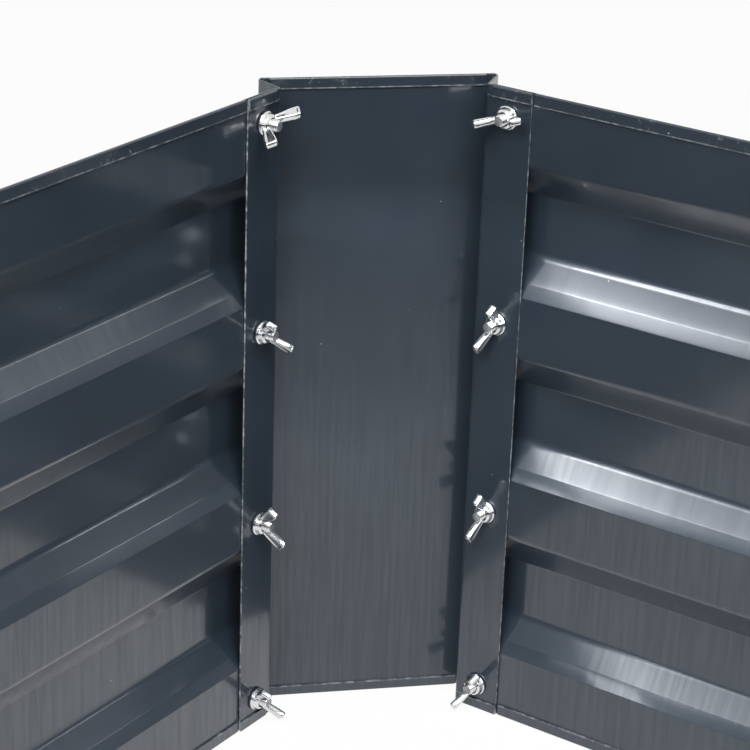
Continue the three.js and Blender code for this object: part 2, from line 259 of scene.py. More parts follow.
# %% [markdown]
# ## Finish 1: coil-coated steel
# The sheet is galvanised steel painted anthracite at the mill, before it is cut and pressed. Such paint is
# thin, even and quite glossy: a clear upper skin mirrors what stands beside it, over a duller pigment layer.
# The eye sees slow waves in the mirrored light, because thin sheet is never quite flat, a faint orange peel,
# upright streaks in the gloss, fine dust, scuffs along the top edge, and a bright unpainted line where a
# shear has cut through paint and zinc. The hems' lips are painted lighter too: partly their unpainted edge,
# partly a painted highlight for the glint along each hem.

# %% Painted steel
MM = 0.001


def per_mm(size):
    """The Scale of a pattern on Object coordinates whose cells are that many millimetres across."""
    return 1 / (size * MM)


painted = bpy.data.materials.new("coil_coated_steel")
tree = empty_tree(painted)
place = add(tree, "ShaderNodeTexCoord").outputs["Object"]
clouds = add(tree, "ShaderNodeTexNoise", {"Vector": place, "Scale": per_mm(70), "Detail": 4.0,
                                          "Roughness": 0.55})
tone = add(tree, "ShaderNodeMapRange", {"Value": clouds.outputs["Fac"], "From Min": 0.3, "From Max": 0.7})
paint = add(tree, "ShaderNodeMix", {"Factor": tone.outputs[0], "A": linear("#262F39"),
                                    "B": linear("#2C3641")}, data_type="RGBA")
# dust: one grain in each 9 mm cell, most of them too small to show
cells = add(tree, "ShaderNodeTexVoronoi", {"Vector": place, "Scale": per_mm(9), "Randomness": 1.0})
grain = add(tree, "ShaderNodeSeparateColor", {"Color": cells.outputs["Color"]})
reach = add(tree, "ShaderNodeMapRange", {"Value": grain.outputs["Red"], "From Min": 0.82, "From Max": 1.0,
                                         "To Min": 0.0, "To Max": 0.045})
dust = add(tree, "ShaderNodeMath", {0: cells.outputs["Distance"], 1: reach.outputs[0]}, operation="LESS_THAN")
dusty = add(tree, "ShaderNodeMix", {"Factor": dust.outputs[0], "A": paint.outputs["Result"],
                                    "B": linear("#9AA0A3")}, data_type="RGBA")
# the folded top edge is scuffed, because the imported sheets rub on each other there
height = add(tree, "ShaderNodeSeparateXYZ", {0: place})
near_top = add(tree, "ShaderNodeMapRange", {"Value": height.outputs["Z"], "From Min": 293 * MM,
                                            "From Max": 296 * MM})
rubs = add(tree, "ShaderNodeTexNoise", {"Vector": place, "Scale": per_mm(5), "Detail": 5.0, "Roughness": 0.7,
                                        "Distortion": 1.5})
rubbed = add(tree, "ShaderNodeMapRange", {"Value": rubs.outputs["Fac"], "From Min": 0.60, "From Max": 0.72,
                                          "To Max": 0.5})
scuff = add(tree, "ShaderNodeMath", {0: near_top.outputs[0], 1: rubbed.outputs[0]}, operation="MULTIPLY")
scuffed = add(tree, "ShaderNodeMix", {"Factor": scuff.outputs[0], "A": dusty.outputs["Result"],
                                      "B": linear("#8F959A")}, data_type="RGBA")
# the cut edges carry an attribute that lightens them to unpainted metal. The hems' lips carry it too, where
# the lighter colour is partly their unpainted edge and partly a painted highlight for the glint along the hem
bare_and_glint = add(tree, "ShaderNodeAttribute", attribute_name="bare_edge_and_glint")
chips = add(tree, "ShaderNodeTexNoise", {"Vector": place, "Scale": per_mm(3.5), "Detail": 3.0})
shine = add(tree, "ShaderNodeMapRange", {"Value": chips.outputs["Fac"], "From Min": 0.43, "From Max": 0.66,
                                         "To Min": 0.15, "To Max": 1.0})
edge = add(tree, "ShaderNodeMath", {0: bare_and_glint.outputs["Fac"], 1: shine.outputs[0]}, operation="MULTIPLY")
colour = add(tree, "ShaderNodeMix", {"Factor": edge.outputs[0], "A": scuffed.outputs["Result"],
                                     "B": linear("#B4B8BB")}, data_type="RGBA")
waves = add(tree, "ShaderNodeTexNoise", {"Vector": place, "Scale": per_mm(55), "Detail": 1.0})
wavy = add(tree, "ShaderNodeBump", {"Height": waves.outputs["Fac"], "Strength": 1.0, "Distance": 0.25 * MM})
peel = add(tree, "ShaderNodeTexNoise", {"Vector": place, "Scale": per_mm(2.2), "Detail": 2.0})
skin = add(tree, "ShaderNodeBump", {"Height": peel.outputs["Fac"], "Strength": 1.0, "Distance": 0.006 * MM,
                                    "Normal": wavy.outputs[0]})
haze = add(tree, "ShaderNodeTexNoise", {"Vector": place, "Scale": per_mm(28), "Detail": 5.0,
                                        "Roughness": 0.6})
rough = add(tree, "ShaderNodeMapRange", {"Value": haze.outputs["Fac"], "From Min": 0.3, "From Max": 0.7,
                                         "To Min": 0.30, "To Max": 0.40})
skin_rough = add(tree, "ShaderNodeMapRange", {"Value": haze.outputs["Fac"], "From Min": 0.3, "From Max": 0.7,
                                              "To Min": 0.09, "To Max": 0.14})
# streaks a millimetre or two wide run up the sheet, across the way it was rolled
along = add(tree, "ShaderNodeAttribute", attribute_name="along")
drawn_out = add(tree, "ShaderNodeMath", {0: height.outputs["Z"], 1: 0.05}, operation="MULTIPLY")
upright = add(tree, "ShaderNodeCombineXYZ", {"X": along.outputs["Fac"], "Z": drawn_out.outputs[0]})
streaks = add(tree, "ShaderNodeTexNoise", {"Vector": upright.outputs[0], "Scale": per_mm(2.5), "Detail": 2.0,
                                           "Roughness": 0.65})
lacquer = add(tree, "ShaderNodeMapRange", {"Value": streaks.outputs["Fac"], "From Min": 0.38,
                                           "From Max": 0.62, "To Min": 0.70, "To Max": 1.0})
shader = add(tree, "ShaderNodeBsdfPrincipled", {
    "Base Color": colour.outputs["Result"], "Roughness": rough.outputs[0], "Specular IOR Level": 0.3,
    "Coat Weight": lacquer.outputs[0], "Coat Roughness": skin_rough.outputs[0], "Coat IOR": 1.55,
    "Normal": skin.outputs[0], "Coat Normal": skin.outputs[0]})
add(tree, "ShaderNodeOutputMaterial", {"Surface": shader.outputs[0]})

# %% [markdown]
# ## Finish 2: bright zinc
# Bolts and wing nuts are steel with a bright, clear-passivated zinc plating. It mirrors like polished steel,
# slightly blue, with small dull patches where the pieces rubbed together in the plating drum.

# %% Zinc plating
zinc = bpy.data.materials.new("bright_zinc_plating")
tree = empty_tree(zinc)
place = add(tree, "ShaderNodeTexCoord").outputs["Object"]
patches = add(tree, "ShaderNodeTexNoise", {"Vector": place, "Scale": per_mm(2.5), "Detail": 4.0})
colour = add(tree, "ShaderNodeMix", {"Factor": patches.outputs["Fac"], "A": linear("#D4D7DA"),
                                     "B": linear("#E4E5E3")}, data_type="RGBA")
rough = add(tree, "ShaderNodeMapRange", {"Value": patches.outputs["Fac"], "From Min": 0.35, "From Max": 0.7,
                                         "To Min": 0.10, "To Max": 0.24})
# a bolt's flat end is painted a darker, duller grey through an attribute: painted shade for the dark
# surroundings that the end mirrors
end = add(tree, "ShaderNodeAttribute", attribute_name="painted_shade_end")
colour = add(tree, "ShaderNodeMix", {"Factor": end.outputs["Fac"], "A": colour.outputs["Result"],
                                     "B": linear("#8B8F92")}, data_type="RGBA")
dents = add(tree, "ShaderNodeTexNoise", {"Vector": place, "Scale": per_mm(1.3), "Detail": 2.0})
bump = add(tree, "ShaderNodeBump", {"Height": dents.outputs["Fac"], "Strength": 1.0, "Distance": 0.02 * MM})
metal = add(tree, "ShaderNodeMapRange", {"Value": end.outputs["Fac"], "To Min": 1.0, "To Max": 0.3})
shader = add(tree, "ShaderNodeBsdfPrincipled", {
    "Base Color": colour.outputs["Result"], "Metallic": metal.outputs[0], "Roughness": rough.outputs[0],
    "Normal": bump.outputs[0]})
add(tree, "ShaderNodeOutputMaterial", {"Surface": shader.outputs[0]})
print("materials:", [m.name for m in bpy.data.materials])

# %% [markdown]
# ## Sizes
# These are the CAD model's own sizes in millimetres. The panels and plates below are drawn from them again
# with finer bends, so they lie on the CAD solids that they stand for.

# %% Shared sizes, in millimetres
BED_LENGTH, BED_WIDTH, BED_HEIGHT = 1200, 900, 300
SHEET = 0.8
SEAT_GAP = 0.3
FLANGE_WIDTH, FLANGE_FOLD = 22.3, 62.1
RETURN_LEAN, RETURN_DEPTH = 4.6, 16
BEND_RADIUS = 1.6
PLATE_HEM, HEM_SIDE_GAP = 4.9, 2.4
PANEL_END_GAP, PANEL_HEM, PANEL_HEM_NOTCH = 2.2, 5.4, 1
RIB_COUNT, RIB_HEIGHT, LAND_HEIGHT, RIB_DEPTH = 3, 59.8, 28, 9.5
RIB_UPPER_SLOPE, RIB_LOWER_SLOPE = 15, 17
LIP_HEIGHT, LIP_DEPTH = 6.1, 2.8
RIB_RADII = [1.0, 3.0, 9.0, 1.8, 5.0]  # up the rib: foot, crease, lower and upper edge of its floor, top
FREE_EDGE = FLANGE_FOLD + FLANGE_WIDTH
BOLT_PLACE = FREE_EDGE - FLANGE_WIDTH / 2
PANEL_FACE = SHEET + SEAT_GAP
HEAD_SEAT = PANEL_FACE + SHEET + SEAT_GAP
FIRST_BOLT_HEIGHT, BOLT_ROWS = 12.7, 4
MIDDLE_ROW_DROP = 2.1
ROW_HEIGHTS = np.linspace(BED_HEIGHT - FIRST_BOLT_HEIGHT, FIRST_BOLT_HEIGHT, BOLT_ROWS)
ROW_HEIGHTS[1:-1] -= MIDDLE_ROW_DROP
EDGE_LAND = (BED_HEIGHT - RIB_COUNT * RIB_HEIGHT - (RIB_COUNT - 1) * LAND_HEIGHT) / 2
print("flat strip above and below the ribs:", round(EDGE_LAND, 2), "mm")

# %% [markdown]
# ## Bent sheet
# Both kinds of sheet piece are one closed skin: a ring that runs up the inner face, round the folded top
# edge, down the outer face and round the folded bottom edge, carried along the piece. The ring changes from a
# plain edge to a folded one where the hem starts. Bends are arcs, so a line through corners is rounded first.

# %% Rounded lines
def rounded(corners, radii, steps):
    """A line through corners (n, 2), with each inner corner replaced by an arc. radii is one radius or one
    for each. The arc's centre lies on the corner's bisector, radius / sin(half the angle) away."""
    corners = np.asarray(corners, float)
    pieces = [corners[:1]]
    radii = np.broadcast_to(radii, len(corners) - 2)
    for before, corner, after, radius in zip(corners[:-2], corners[1:-1], corners[2:], radii):
        a = (before - corner) / np.linalg.norm(before - corner)
        b = (after - corner) / np.linalg.norm(after - corner)
        half = np.arccos(np.clip(a @ b, -1, 1)) / 2
        bisector = (a + b) / np.linalg.norm(a + b)
        centre = corner + bisector * radius / np.sin(half)
        start = corner + a * radius / np.tan(half) - centre
        side = np.sign(start[0] * -bisector[1] + start[1] * bisector[0])
        angle = side * (np.pi - 2 * half) * np.linspace(0, 1, steps + 1)
        arc = np.stack([start[0] * np.cos(angle) - start[1] * np.sin(angle),
                        start[0] * np.sin(angle) + start[1] * np.cos(angle)], axis=1)
        pieces.append(centre + arc)
    pieces.append(corners[-1:])
    return np.concatenate(pieces)


def sideways(path):
    """Unit vectors to the left of a line (n, 2), shared evenly at each corner as a mitre is:
    (left of the piece before + left of the piece after) / (1 + their dot product)."""
    along = np.diff(path, axis=0)
    along /= np.linalg.norm(along, axis=1, keepdims=True)
    left = np.stack([-along[:, 1], along[:, 0]], axis=1)
    before, after = np.vstack([left[:1], left]), np.vstack([left, left[-1:]])
    return (before + after) / (1 + np.sum(before * after, axis=1, keepdims=True))


FOLD_STEPS = 8


def edge_fold(hemmed):
    """The rounded edge of a sheet as (height below the edge, step outwards), from its inner side to its
    outer. A plain edge is a half circle as thick as the sheet. A hem's is twice as thick and reaches
    inwards."""
    radius = SHEET / 2 * (1 + hemmed)[None, :]
    angle = np.linspace(0, np.pi, FOLD_STEPS + 1)[:, None]
    return radius * (1 - np.sin(angle)), SHEET - radius - radius * np.cos(angle)

# %% The skin of a sheet piece
HEM_LIP, HEM_SPRING = 0.5, 0.14  # the last half millimetre of a hem springs back from the sheet a little
HEM_START = 0.02  # a hem grows to its full thickness within this length of the sheet
WELD_REACH = 0.004  # points closer than this are one point


def sheet_ring(plan, outwards, hemmed, section, hem_height):
    """The closed ring of points (rows, columns, 3) in mm. plan (columns, 2) is the inner face seen from
    above, outwards (columns, 2) its unit vectors outwards, hemmed (columns) 1 where there is a hem, and
    section (rows, 2) the height and the outward step of the inner face, from hem to hem."""
    below, out = edge_fold(hemmed)
    outer = section + SHEET * sideways(section)
    across = np.ones((1, len(hemmed)))
    hem_face = -SHEET * hemmed[None, :]
    hem_lip = hem_face * (1 + HEM_SPRING / SHEET)
    lip_height = hem_height - HEM_LIP
    height = np.concatenate([lip_height * across, hem_height * across, section[:, :1] * across,
                             (BED_HEIGHT - hem_height) * across, (BED_HEIGHT - lip_height) * across,
                             BED_HEIGHT - below, outer[::-1, :1] * across, below[::-1]])
    step = np.concatenate([hem_face, hem_lip, section[:, 1:] * across, hem_lip, hem_face,
                           out, outer[::-1, 1:] * across, out[::-1]])
    return np.stack([plan[:, 0] + outwards[:, 0] * step, plan[:, 1] + outwards[:, 1] * step, height], axis=-1)

# %% [markdown]
# ## Turning a grid into a piece
# The two ends of the skin are closed with flat caps. Coincident points, where the hem is not there yet, are
# merged. Holes for the bolts are real, cut with a Boolean, because they show when a bolt is pushed out.
# Weighted normals keep the flat sheet flat right up to a bend.

# %% Finish a sheet piece
def link_mesh(name, points, faces):
    """A mesh object from points and faces, in metres."""
    mesh = bpy.data.meshes.new(name)
    mesh.from_pydata(np.asarray(points).reshape(-1, 3).tolist(), [], [list(map(int, f)) for f in faces])
    made = bpy.data.objects.new(name, mesh)
    bpy.context.scene.collection.objects.link(made)
    return made


def apply_modifiers(piece):
    """The piece's mesh becomes what its modifiers make of it."""
    graph = bpy.context.evaluated_depsgraph_get()
    done = bpy.data.meshes.new_from_object(piece.evaluated_get(graph), preserve_all_data_layers=True,
                                           depsgraph=graph)
    piece.modifiers.clear()
    piece.data = done


def outward(piece):
    """Turns every face of a closed mesh outwards."""
    bpy.context.view_layer.objects.active = piece
    bpy.ops.object.mode_set(mode="EDIT")
    bpy.ops.mesh.select_all(action="SELECT")
    bpy.ops.mesh.normals_make_consistent(inside=False)
    bpy.ops.object.mode_set(mode="OBJECT")


def closed_piece(name, points):
    """A ring of rows (closed) carried over columns (open), in millimetres, with a flat cap at each end."""
    rows, columns = points.shape[:2]
    piece = grid_object(name, points * MM, closed_rows=True)
    mesh = piece.data
    first = (np.arange(rows) * columns).tolist()
    last = (np.arange(rows) * columns + columns - 1).tolist()
    everything = [list(p.vertices) for p in mesh.polygons] + [first, last[::-1]]
    places = [tuple(v.co) for v in mesh.vertices]
    mesh.clear_geometry()
    mesh.from_pydata(places, [], everything)
    weld = piece.modifiers.new("weld", "WELD")
    weld.merge_threshold = WELD_REACH * MM
    apply_modifiers(piece)
    outward(piece)
    return piece


def finish_piece(piece, material, smooth_angle=35, weighted=True):
    """Smooth shading with sharp creases, the finish, and flat faces kept flat."""
    piece.data.shade_smooth()
    piece.data.set_sharp_from_angle(angle=np.radians(smooth_angle))
    piece.data.materials.clear()
    piece.data.materials.append(material)
    if weighted:
        flat = piece.modifiers.new("flat_faces", "WEIGHTED_NORMAL")
        flat.keep_sharp = True
        flat.weight = 80
        apply_modifiers(piece)

# %% Bolt holes
HOLE_RADIUS = 2.9
HOLE_SIDES = 24
BAR_HALF_LENGTH = 6  # a cutting bar reaches this far to each side of the sheet


def hole_cutters(name, places, along):
    """One mesh of round bars, centred on places (n, 3) and lying along the unit vector given, in mm."""
    angle = np.linspace(0, 2 * np.pi, HOLE_SIDES, endpoint=False)
    across = np.cross(along, (0, 0, 1))
    ring = HOLE_RADIUS * (np.cos(angle)[:, None] * across + np.sin(angle)[:, None] * np.array([0, 0, 1]))
    ends = np.array([-1, 1])[:, None, None] * BAR_HALF_LENGTH * np.array(along)
    points = places[:, None, None, :] + ends[None] + ring[None, None]
    faces = []
    for k in range(len(places)):
        low = 2 * HOLE_SIDES * k + np.arange(HOLE_SIDES)
        high = low + HOLE_SIDES
        faces += np.stack([low, np.roll(low, -1), np.roll(high, -1), high], axis=1).tolist()
        faces += [low[::-1].tolist(), high.tolist()]
    cutters = link_mesh(name, points * MM, faces)
    outward(cutters)
    return cutters


def cut_holes(piece, cutters):
    """Cuts the bars out of the piece and removes them."""
    boolean = piece.modifiers.new("holes", "BOOLEAN")
    boolean.operation = "DIFFERENCE"
    boolean.solver = "EXACT"
    boolean.object = cutters
    apply_modifiers(piece)
    bpy.data.objects.remove(cutters)


LIP_BARE_AND_GLINT = 0.45  # a hem's edge is pressed against the sheet, so less of its unpainted metal shows; the lighter lip is also a painted highlight for the glint along the hem


def distance_to_lip(places, hem_height):
    """How far above or below a hem's edge each place (n, 3) lies, at the top or the bottom of the bed."""
    return np.abs(np.abs(places[:, 2] - BED_HEIGHT / 2) - BED_HEIGHT / 2 + hem_height)


def mark_bare_and_glint(piece, is_bare_and_glint):
    """Writes on the faces the attribute that lightens them: unpainted metal at cut edges, and on the hems'
    lips partly a painted highlight. is_bare_and_glint gives its value for each centre, in mm, and normal.
    """
    count = len(piece.data.polygons)
    centres, normals = np.empty(count * 3), np.empty(count * 3)
    piece.data.polygons.foreach_get("center", centres)
    piece.data.polygons.foreach_get("normal", normals)
    chosen = is_bare_and_glint(centres.reshape(-1, 3) / MM, normals.reshape(-1, 3))
    attribute = piece.data.attributes.new("bare_edge_and_glint", "FLOAT", "FACE")
    attribute.data.foreach_set("value", chosen.astype(np.float32))
    return int((chosen > 0).sum())


def mark_along(piece, measure):
    """Writes the attribute along on the points: how far along the sheet measure puts each one, in metres."""
    places = np.empty(len(piece.data.vertices) * 3)
    piece.data.vertices.foreach_get("co", places)
    attribute = piece.data.attributes.new("along", "FLOAT", "POINT")
    attribute.data.foreach_set("value", measure(places.reshape(-1, 3)).astype(np.float32))

# %% [markdown]
# ## Piece 1: the ribbed side panels
# The panel is rolled, so its three ribs run its whole length and on under the flanges, where each one leaves
# a dark open pocket. Seen up the panel it is a line of rounded corners: a flat strip, a gentle foot, the
# slope, the rib's floor 9.5 mm further out, and one plain slope back. The wider bends catch the broader lines
# of light.

# %% Panel section
BEND_STEPS = 6


def panel_section():
    """The inner face up the panel as (height, outwards), from the lower hem to the upper."""
    corners = [(PANEL_HEM, 0)]
    for k in range(RIB_COUNT):
        low = EDGE_LAND + k * (RIB_HEIGHT + LAND_HEIGHT)
        high = low + RIB_HEIGHT
        corners += [(low, 0), (low + LIP_HEIGHT, LIP_DEPTH), (low + RIB_LOWER_SLOPE, RIB_DEPTH),
                    (high - RIB_UPPER_SLOPE, RIB_DEPTH), (high, 0)]
    corners.append((BED_HEIGHT - PANEL_HEM, 0))
    return rounded(corners, RIB_RADII * RIB_COUNT, BEND_STEPS)

# %% Make the four panels
def side_panel(name, half_crossing, away, quarter_turns):
    """A panel across Y at y = away, then turned about Z. half_crossing: from its middle to where
    the planes of the flanges cross."""
    half = half_crossing - FLANGE_FOLD - PANEL_END_GAP
    hem_end = half_crossing - FREE_EDGE - PANEL_HEM_NOTCH
    columns = np.concatenate([[-half, -hem_end - HEM_START], np.linspace(-hem_end, hem_end, 15),
                              [hem_end + HEM_START, half]])
    hemmed = (np.abs(columns) <= hem_end + 1e-6).astype(float)
    plan = np.stack([columns, PANEL_FACE + 0 * columns], axis=1)
    panel = closed_piece(name, sheet_ring(plan, np.tile([0.0, 1.0], (len(columns), 1)), hemmed,
                                          panel_section(), PANEL_HEM))
    spots = np.array([[side * (half_crossing - BOLT_PLACE), PANEL_FACE, height]
                      for side in (-1, 1) for height in ROW_HEIGHTS])
    cut_holes(panel, hole_cutters(name + "_holes", spots, np.array([0.0, 1.0, 0.0])))
    # the hems' lips are painted lighter: partly unpainted metal, partly a painted highlight for the glint
    # along the hem
    on_lip = lambda c: (c[:, 1] < PANEL_FACE - 0.2) & (distance_to_lip(c, PANEL_HEM) < HEM_LIP)
    cut = lambda c, n: (np.abs(n[:, 0]) > 0.9) & ((c[:, 1] < PANEL_FACE) | (np.abs(c[:, 0]) > half - 0.1))
    bare_and_glint = mark_bare_and_glint(panel, lambda c, n: np.maximum(LIP_BARE_AND_GLINT * on_lip(c), cut(c, n)))
    mark_along(panel, lambda c: c[:, 0])
    turn = Matrix.Rotation(np.pi / 2 * quarter_turns, 4, "Z")
    panel.data.transform(turn @ Matrix.Translation((0, away * MM, 0)))
    finish_piece(panel, painted)
    print(name, len(panel.data.polygons), "faces,", bare_and_glint, "bare_and_glint")
    return panel


plan_corners = [(-FREE_EDGE, 0), (-FLANGE_FOLD, 0), (-FLANGE_FOLD + RETURN_LEAN, RETURN_DEPTH)]
plan_corners += [(y, x) for x, y in reversed(plan_corners)]
plate_plan = rounded(plan_corners, BEND_RADIUS, BEND_STEPS)
plate_left = sideways(plate_plan)
PLATE_REACH = 15.39  # how far the CAD model's plates reach beyond the crossing of their flange planes
HALF_LENGTH = BED_LENGTH / 2 - PLATE_REACH
HALF_WIDTH = BED_WIDTH / 2 - PLATE_REACH
print("crossing of the flange planes:", HALF_LENGTH, HALF_WIDTH)

for name, half, away, quarter_turns in [
        ("back_panel", HALF_LENGTH, HALF_WIDTH, 0), ("left_panel", HALF_WIDTH, HALF_LENGTH, 1),
        ("front_panel", HALF_LENGTH, HALF_WIDTH, 2), ("right_panel", HALF_WIDTH, HALF_LENGTH, 3)]:
    panel = side_panel("ribbed_" + name, half, away, quarter_turns)
    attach(panel, "bed")
    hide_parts(name)

# %% [markdown]
# ## Piece 2: the corner plates
# One sheet is folded four times: flange, return, wide plate, return, flange. Its top and bottom edges are
# hemmed on the flat stretches and left plain through the folds, where a hem would crack.

# %% Make the four corner plates
def corner_plate(name, x, y, quarter_turns):
    """The plate at the crossing (x, y), with its flanges along -X and -Y before it is turned."""
    lengths = np.linalg.norm(np.diff(plate_plan, axis=0), axis=1)
    at = np.concatenate([[0], np.cumsum(lengths)])
    corner_at = [np.argmin(np.linalg.norm(plate_plan - np.array(c), axis=1)) for c in plan_corners]
    flat_from = at[[0, corner_at[2] + BEND_STEPS // 2, corner_at[4] + BEND_STEPS // 2]]
    flat_to = at[[corner_at[1] - BEND_STEPS // 2, corner_at[3] - BEND_STEPS // 2, len(at) - 1]]
    start_gap = np.array([0, HEM_SIDE_GAP, HEM_SIDE_GAP])
    hem_from, hem_to = flat_from + start_gap, flat_to - start_gap[::-1]
    steps = np.concatenate([hem_from[1:], hem_from[1:] - HEM_START, hem_to[:-1], hem_to[:-1] + HEM_START])
    places = np.unique(np.concatenate([at, steps]).round(4))
    px, py = (np.interp(places, at, plate_plan[:, k]) for k in (0, 1))
    nx, ny = (np.interp(places, at, plate_left[:, k]) for k in (0, 1))
    in_hem = (places[:, None] >= hem_from - 1e-3) & (places[:, None] <= hem_to + 1e-3)
    hemmed = np.any(in_hem, axis=1).astype(float)

    section = np.array([[PLATE_HEM, 0], [BED_HEIGHT - PLATE_HEM, 0]], float)
    plan, outwards = np.stack([px, py], axis=1), np.stack([nx, ny], axis=1)
    plate = closed_piece(name, sheet_ring(plan, outwards, hemmed, section, PLATE_HEM))
    spots = np.array([[-BOLT_PLACE, 0, height] for height in ROW_HEIGHTS])
    cut_holes(plate, hole_cutters(name + "_first_holes", spots, np.array([0.0, 1.0, 0.0])))
    cut_holes(plate, hole_cutters(name + "_second_holes", spots[:, [1, 0, 2]], np.array([1.0, 0.0, 0.0])))
    cut = lambda c: (c[:, 0] < -FREE_EDGE + 0.01) | (c[:, 1] < -FREE_EDGE + 0.01)
    # the hems' lips are painted lighter: partly unpainted metal, partly a painted highlight for the glint
    # along the hem
    on_lip = lambda c: distance_to_lip(c, PLATE_HEM) < HEM_LIP
    bare_and_glint = mark_bare_and_glint(plate, lambda c, n: np.maximum(LIP_BARE_AND_GLINT * on_lip(c), cut(c)))
    mark_along(plate, lambda c: c[:, 0] - c[:, 1])
    turn = Matrix.Rotation(np.pi / 2 * quarter_turns, 4, "Z")
    plate.data.transform(Matrix.Translation((x * MM, y * MM, 0)) @ turn)
    finish_piece(plate, painted)
    print(name, len(plate.data.polygons), "faces,", bare_and_glint, "bare, hems", hem_from.round(1), hem_to.round(1))
    return plate


CORNERS = [("back_right", HALF_LENGTH, HALF_WIDTH, 0, ("long", "short")),
           ("back_left", -HALF_LENGTH, HALF_WIDTH, 1, ("short", "long")),
           ("front_left", -HALF_LENGTH, -HALF_WIDTH, 2, ("long", "short")),
           ("front_right", HALF_LENGTH, -HALF_WIDTH, 3, ("short", "long"))]
for name, x, y, quarter_turns, _ in CORNERS:
    plate = corner_plate("folded_plate_" + name, x, y, quarter_turns)
    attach(plate, "bed")
    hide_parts("corner_plate_" + name)

# %% [markdown]
# ## Piece 3: the bolts
# An M5 machine screw, 10 mm long, with a rolled thread and a domed head outside the bed. The thread is one
# surface: round the shank and along it, the radius follows a rounded saw tooth that moves on by one pitch a
# turn. The head is a square grid bent to a disc, so that its lines run along the arms of the cross recess.

# %% Thread and shank
BOLT_RADIUS, BOLT_LENGTH, BOLT_POINT = 2.5, 10, 0.45
PITCH = 0.8
THREAD_DEPTH = 0.42
HEAD_RADIUS, HEAD_HEIGHT = 5.25, 2.8


def shank_points(sides=28, rows_a_turn=8):
    """(rows, sides, 3): radius = BOLT_RADIUS - depth (1 - wave) / 2, wave = cos(2 pi (y / pitch - turn)).
    The depth fades out at the chamfered point and the whole narrows there."""
    tip = -HEAD_SEAT + BOLT_LENGTH
    y = np.linspace(-HEAD_SEAT - 0.4, tip, int(BOLT_LENGTH / PITCH * rows_a_turn))[:, None]
    angle = np.linspace(0, 2 * np.pi, sides, endpoint=False)[None, :]
    wave = np.cos(2 * np.pi * (y / PITCH) - angle)
    chamfer = np.clip(tip - y, 0, BOLT_POINT) - BOLT_POINT
    radius = np.minimum(BOLT_RADIUS - THREAD_DEPTH * (1 - wave) / 2, BOLT_RADIUS + chamfer)
    radius = np.maximum(radius, BOLT_RADIUS - BOLT_POINT)
    return np.stack([radius * np.cos(angle), y + 0 * angle, radius * np.sin(angle)], axis=-1)


def head_points():
    """(n, n, 3) from a square grid (a, b): x = R a sqrt(1 - b^2 / 2), z = R b sqrt(1 - a^2 / 2). Outwards the
    dome is H (1 - (r / R)^2.4)^(1 / 2.4), less the recess: two tapered bars that cross at the middle."""
    line = np.array([0, 0.055, 0.105, 0.13, 0.22, 0.33, 0.43, 0.46, 0.6, 0.75, 0.88, 0.96, 1])
    line = np.concatenate([-line[:0:-1], line])
    a, b = np.meshgrid(line, line)
    x, z = HEAD_RADIUS * a * np.sqrt(1 - b ** 2 / 2), HEAD_RADIUS * b * np.sqrt(1 - a ** 2 / 2)
    r = np.clip(np.hypot(x, z) / HEAD_RADIUS, 0, 1)
    dome = HEAD_HEIGHT * (1 - r ** 2.4) ** (1 / 2.4)
    bar = lambda across, along: (np.abs(across) < 0.12) * np.clip((0.45 - np.abs(along)) / 0.25, 0, 1)
    recess = 1.7 * np.maximum(bar(a, b), bar(b, a))
    return np.stack([x, -HEAD_SEAT - dome + recess, z], axis=-1)

# %% Bolt mesh
def bolt_mesh():
    """The shank with its two end caps, and the head with its flat seat, as points in mm and faces."""
    shank = shank_points()
    rows, sides = shank.shape[:2]
    i, j = np.arange(rows - 1)[:, None], np.arange(sides)[None, :]
    at = lambda r, c: r * sides + c % sides
    faces = np.stack([at(i, j), at(i + 1, j), at(i + 1, j + 1), at(i, j + 1)], axis=-1)
    faces = faces.reshape(-1, 4).tolist()
    faces += [np.arange(sides).tolist(), (np.arange(sides)[::-1] + (rows - 1) * sides).tolist()]
    head = head_points()
    n = head.shape[0]
    start = rows * sides
    i, j = np.arange(n - 1)[:, None], np.arange(n - 1)[None, :]
    at = lambda r, c: start + r * n + c
    squares = np.stack([at(i, j), at(i, j + 1), at(i + 1, j + 1), at(i + 1, j)], axis=-1)
    faces += squares.reshape(-1, 4).tolist()
    rim = np.concatenate([at(0, np.arange(n - 1)), at(np.arange(n - 1), n - 1),
                          at(n - 1, np.arange(n - 1, 0, -1)), at(np.arange(n - 1, 0, -1), 0)])
    faces.append(rim.tolist())
    return np.concatenate([shank.reshape(-1, 3), head.reshape(-1, 3)]), faces


bolt_points, bolt_faces = bolt_mesh()
bolt_piece = link_mesh("bolt_pattern", bolt_points * MM, bolt_faces)
outward(bolt_piece)
end_height = -HEAD_SEAT + BOLT_LENGTH
# the bolt's flat end is marked for its painted shade, a darker, duller grey for the dark surroundings it
# mirrors
shaded_end_faces = np.array([p.center[1] / MM > end_height - 0.01 for p in bolt_piece.data.polygons], np.float32)
bolt_piece.data.attributes.new("painted_shade_end", "FLOAT", "FACE").data.foreach_set("value", shaded_end_faces)
finish_piece(bolt_piece, zinc, smooth_angle=50, weighted=False)
print("bolt:", len(bolt_piece.data.polygons), "faces")

# %% [markdown]
# ## Piece 4: the wing nuts
# The nut is cold-formed steel: a cone-shaped hub on a round foot, and two wings that rise outwards like
# paddles, with a thick rounded rim round a slightly sunken face, where thumb and finger press. Each wing is a
# height over its flat outline, worked out from the distance to the rim. Hub and wings are then joined.

# %% Wing surface
NUT_BORE = 2.8
NUT_BASE_RADIUS, NUT_TOP_RADIUS, NUT_HUB_HEIGHT = 5.3, 4.2, 4.0
WING_HALF = 1.5
WING_ROOT = np.array([3.6, 3.3])  # in the hub, x outwards and y up the bolt
WING_TIP = np.array([11.0, 11.4])


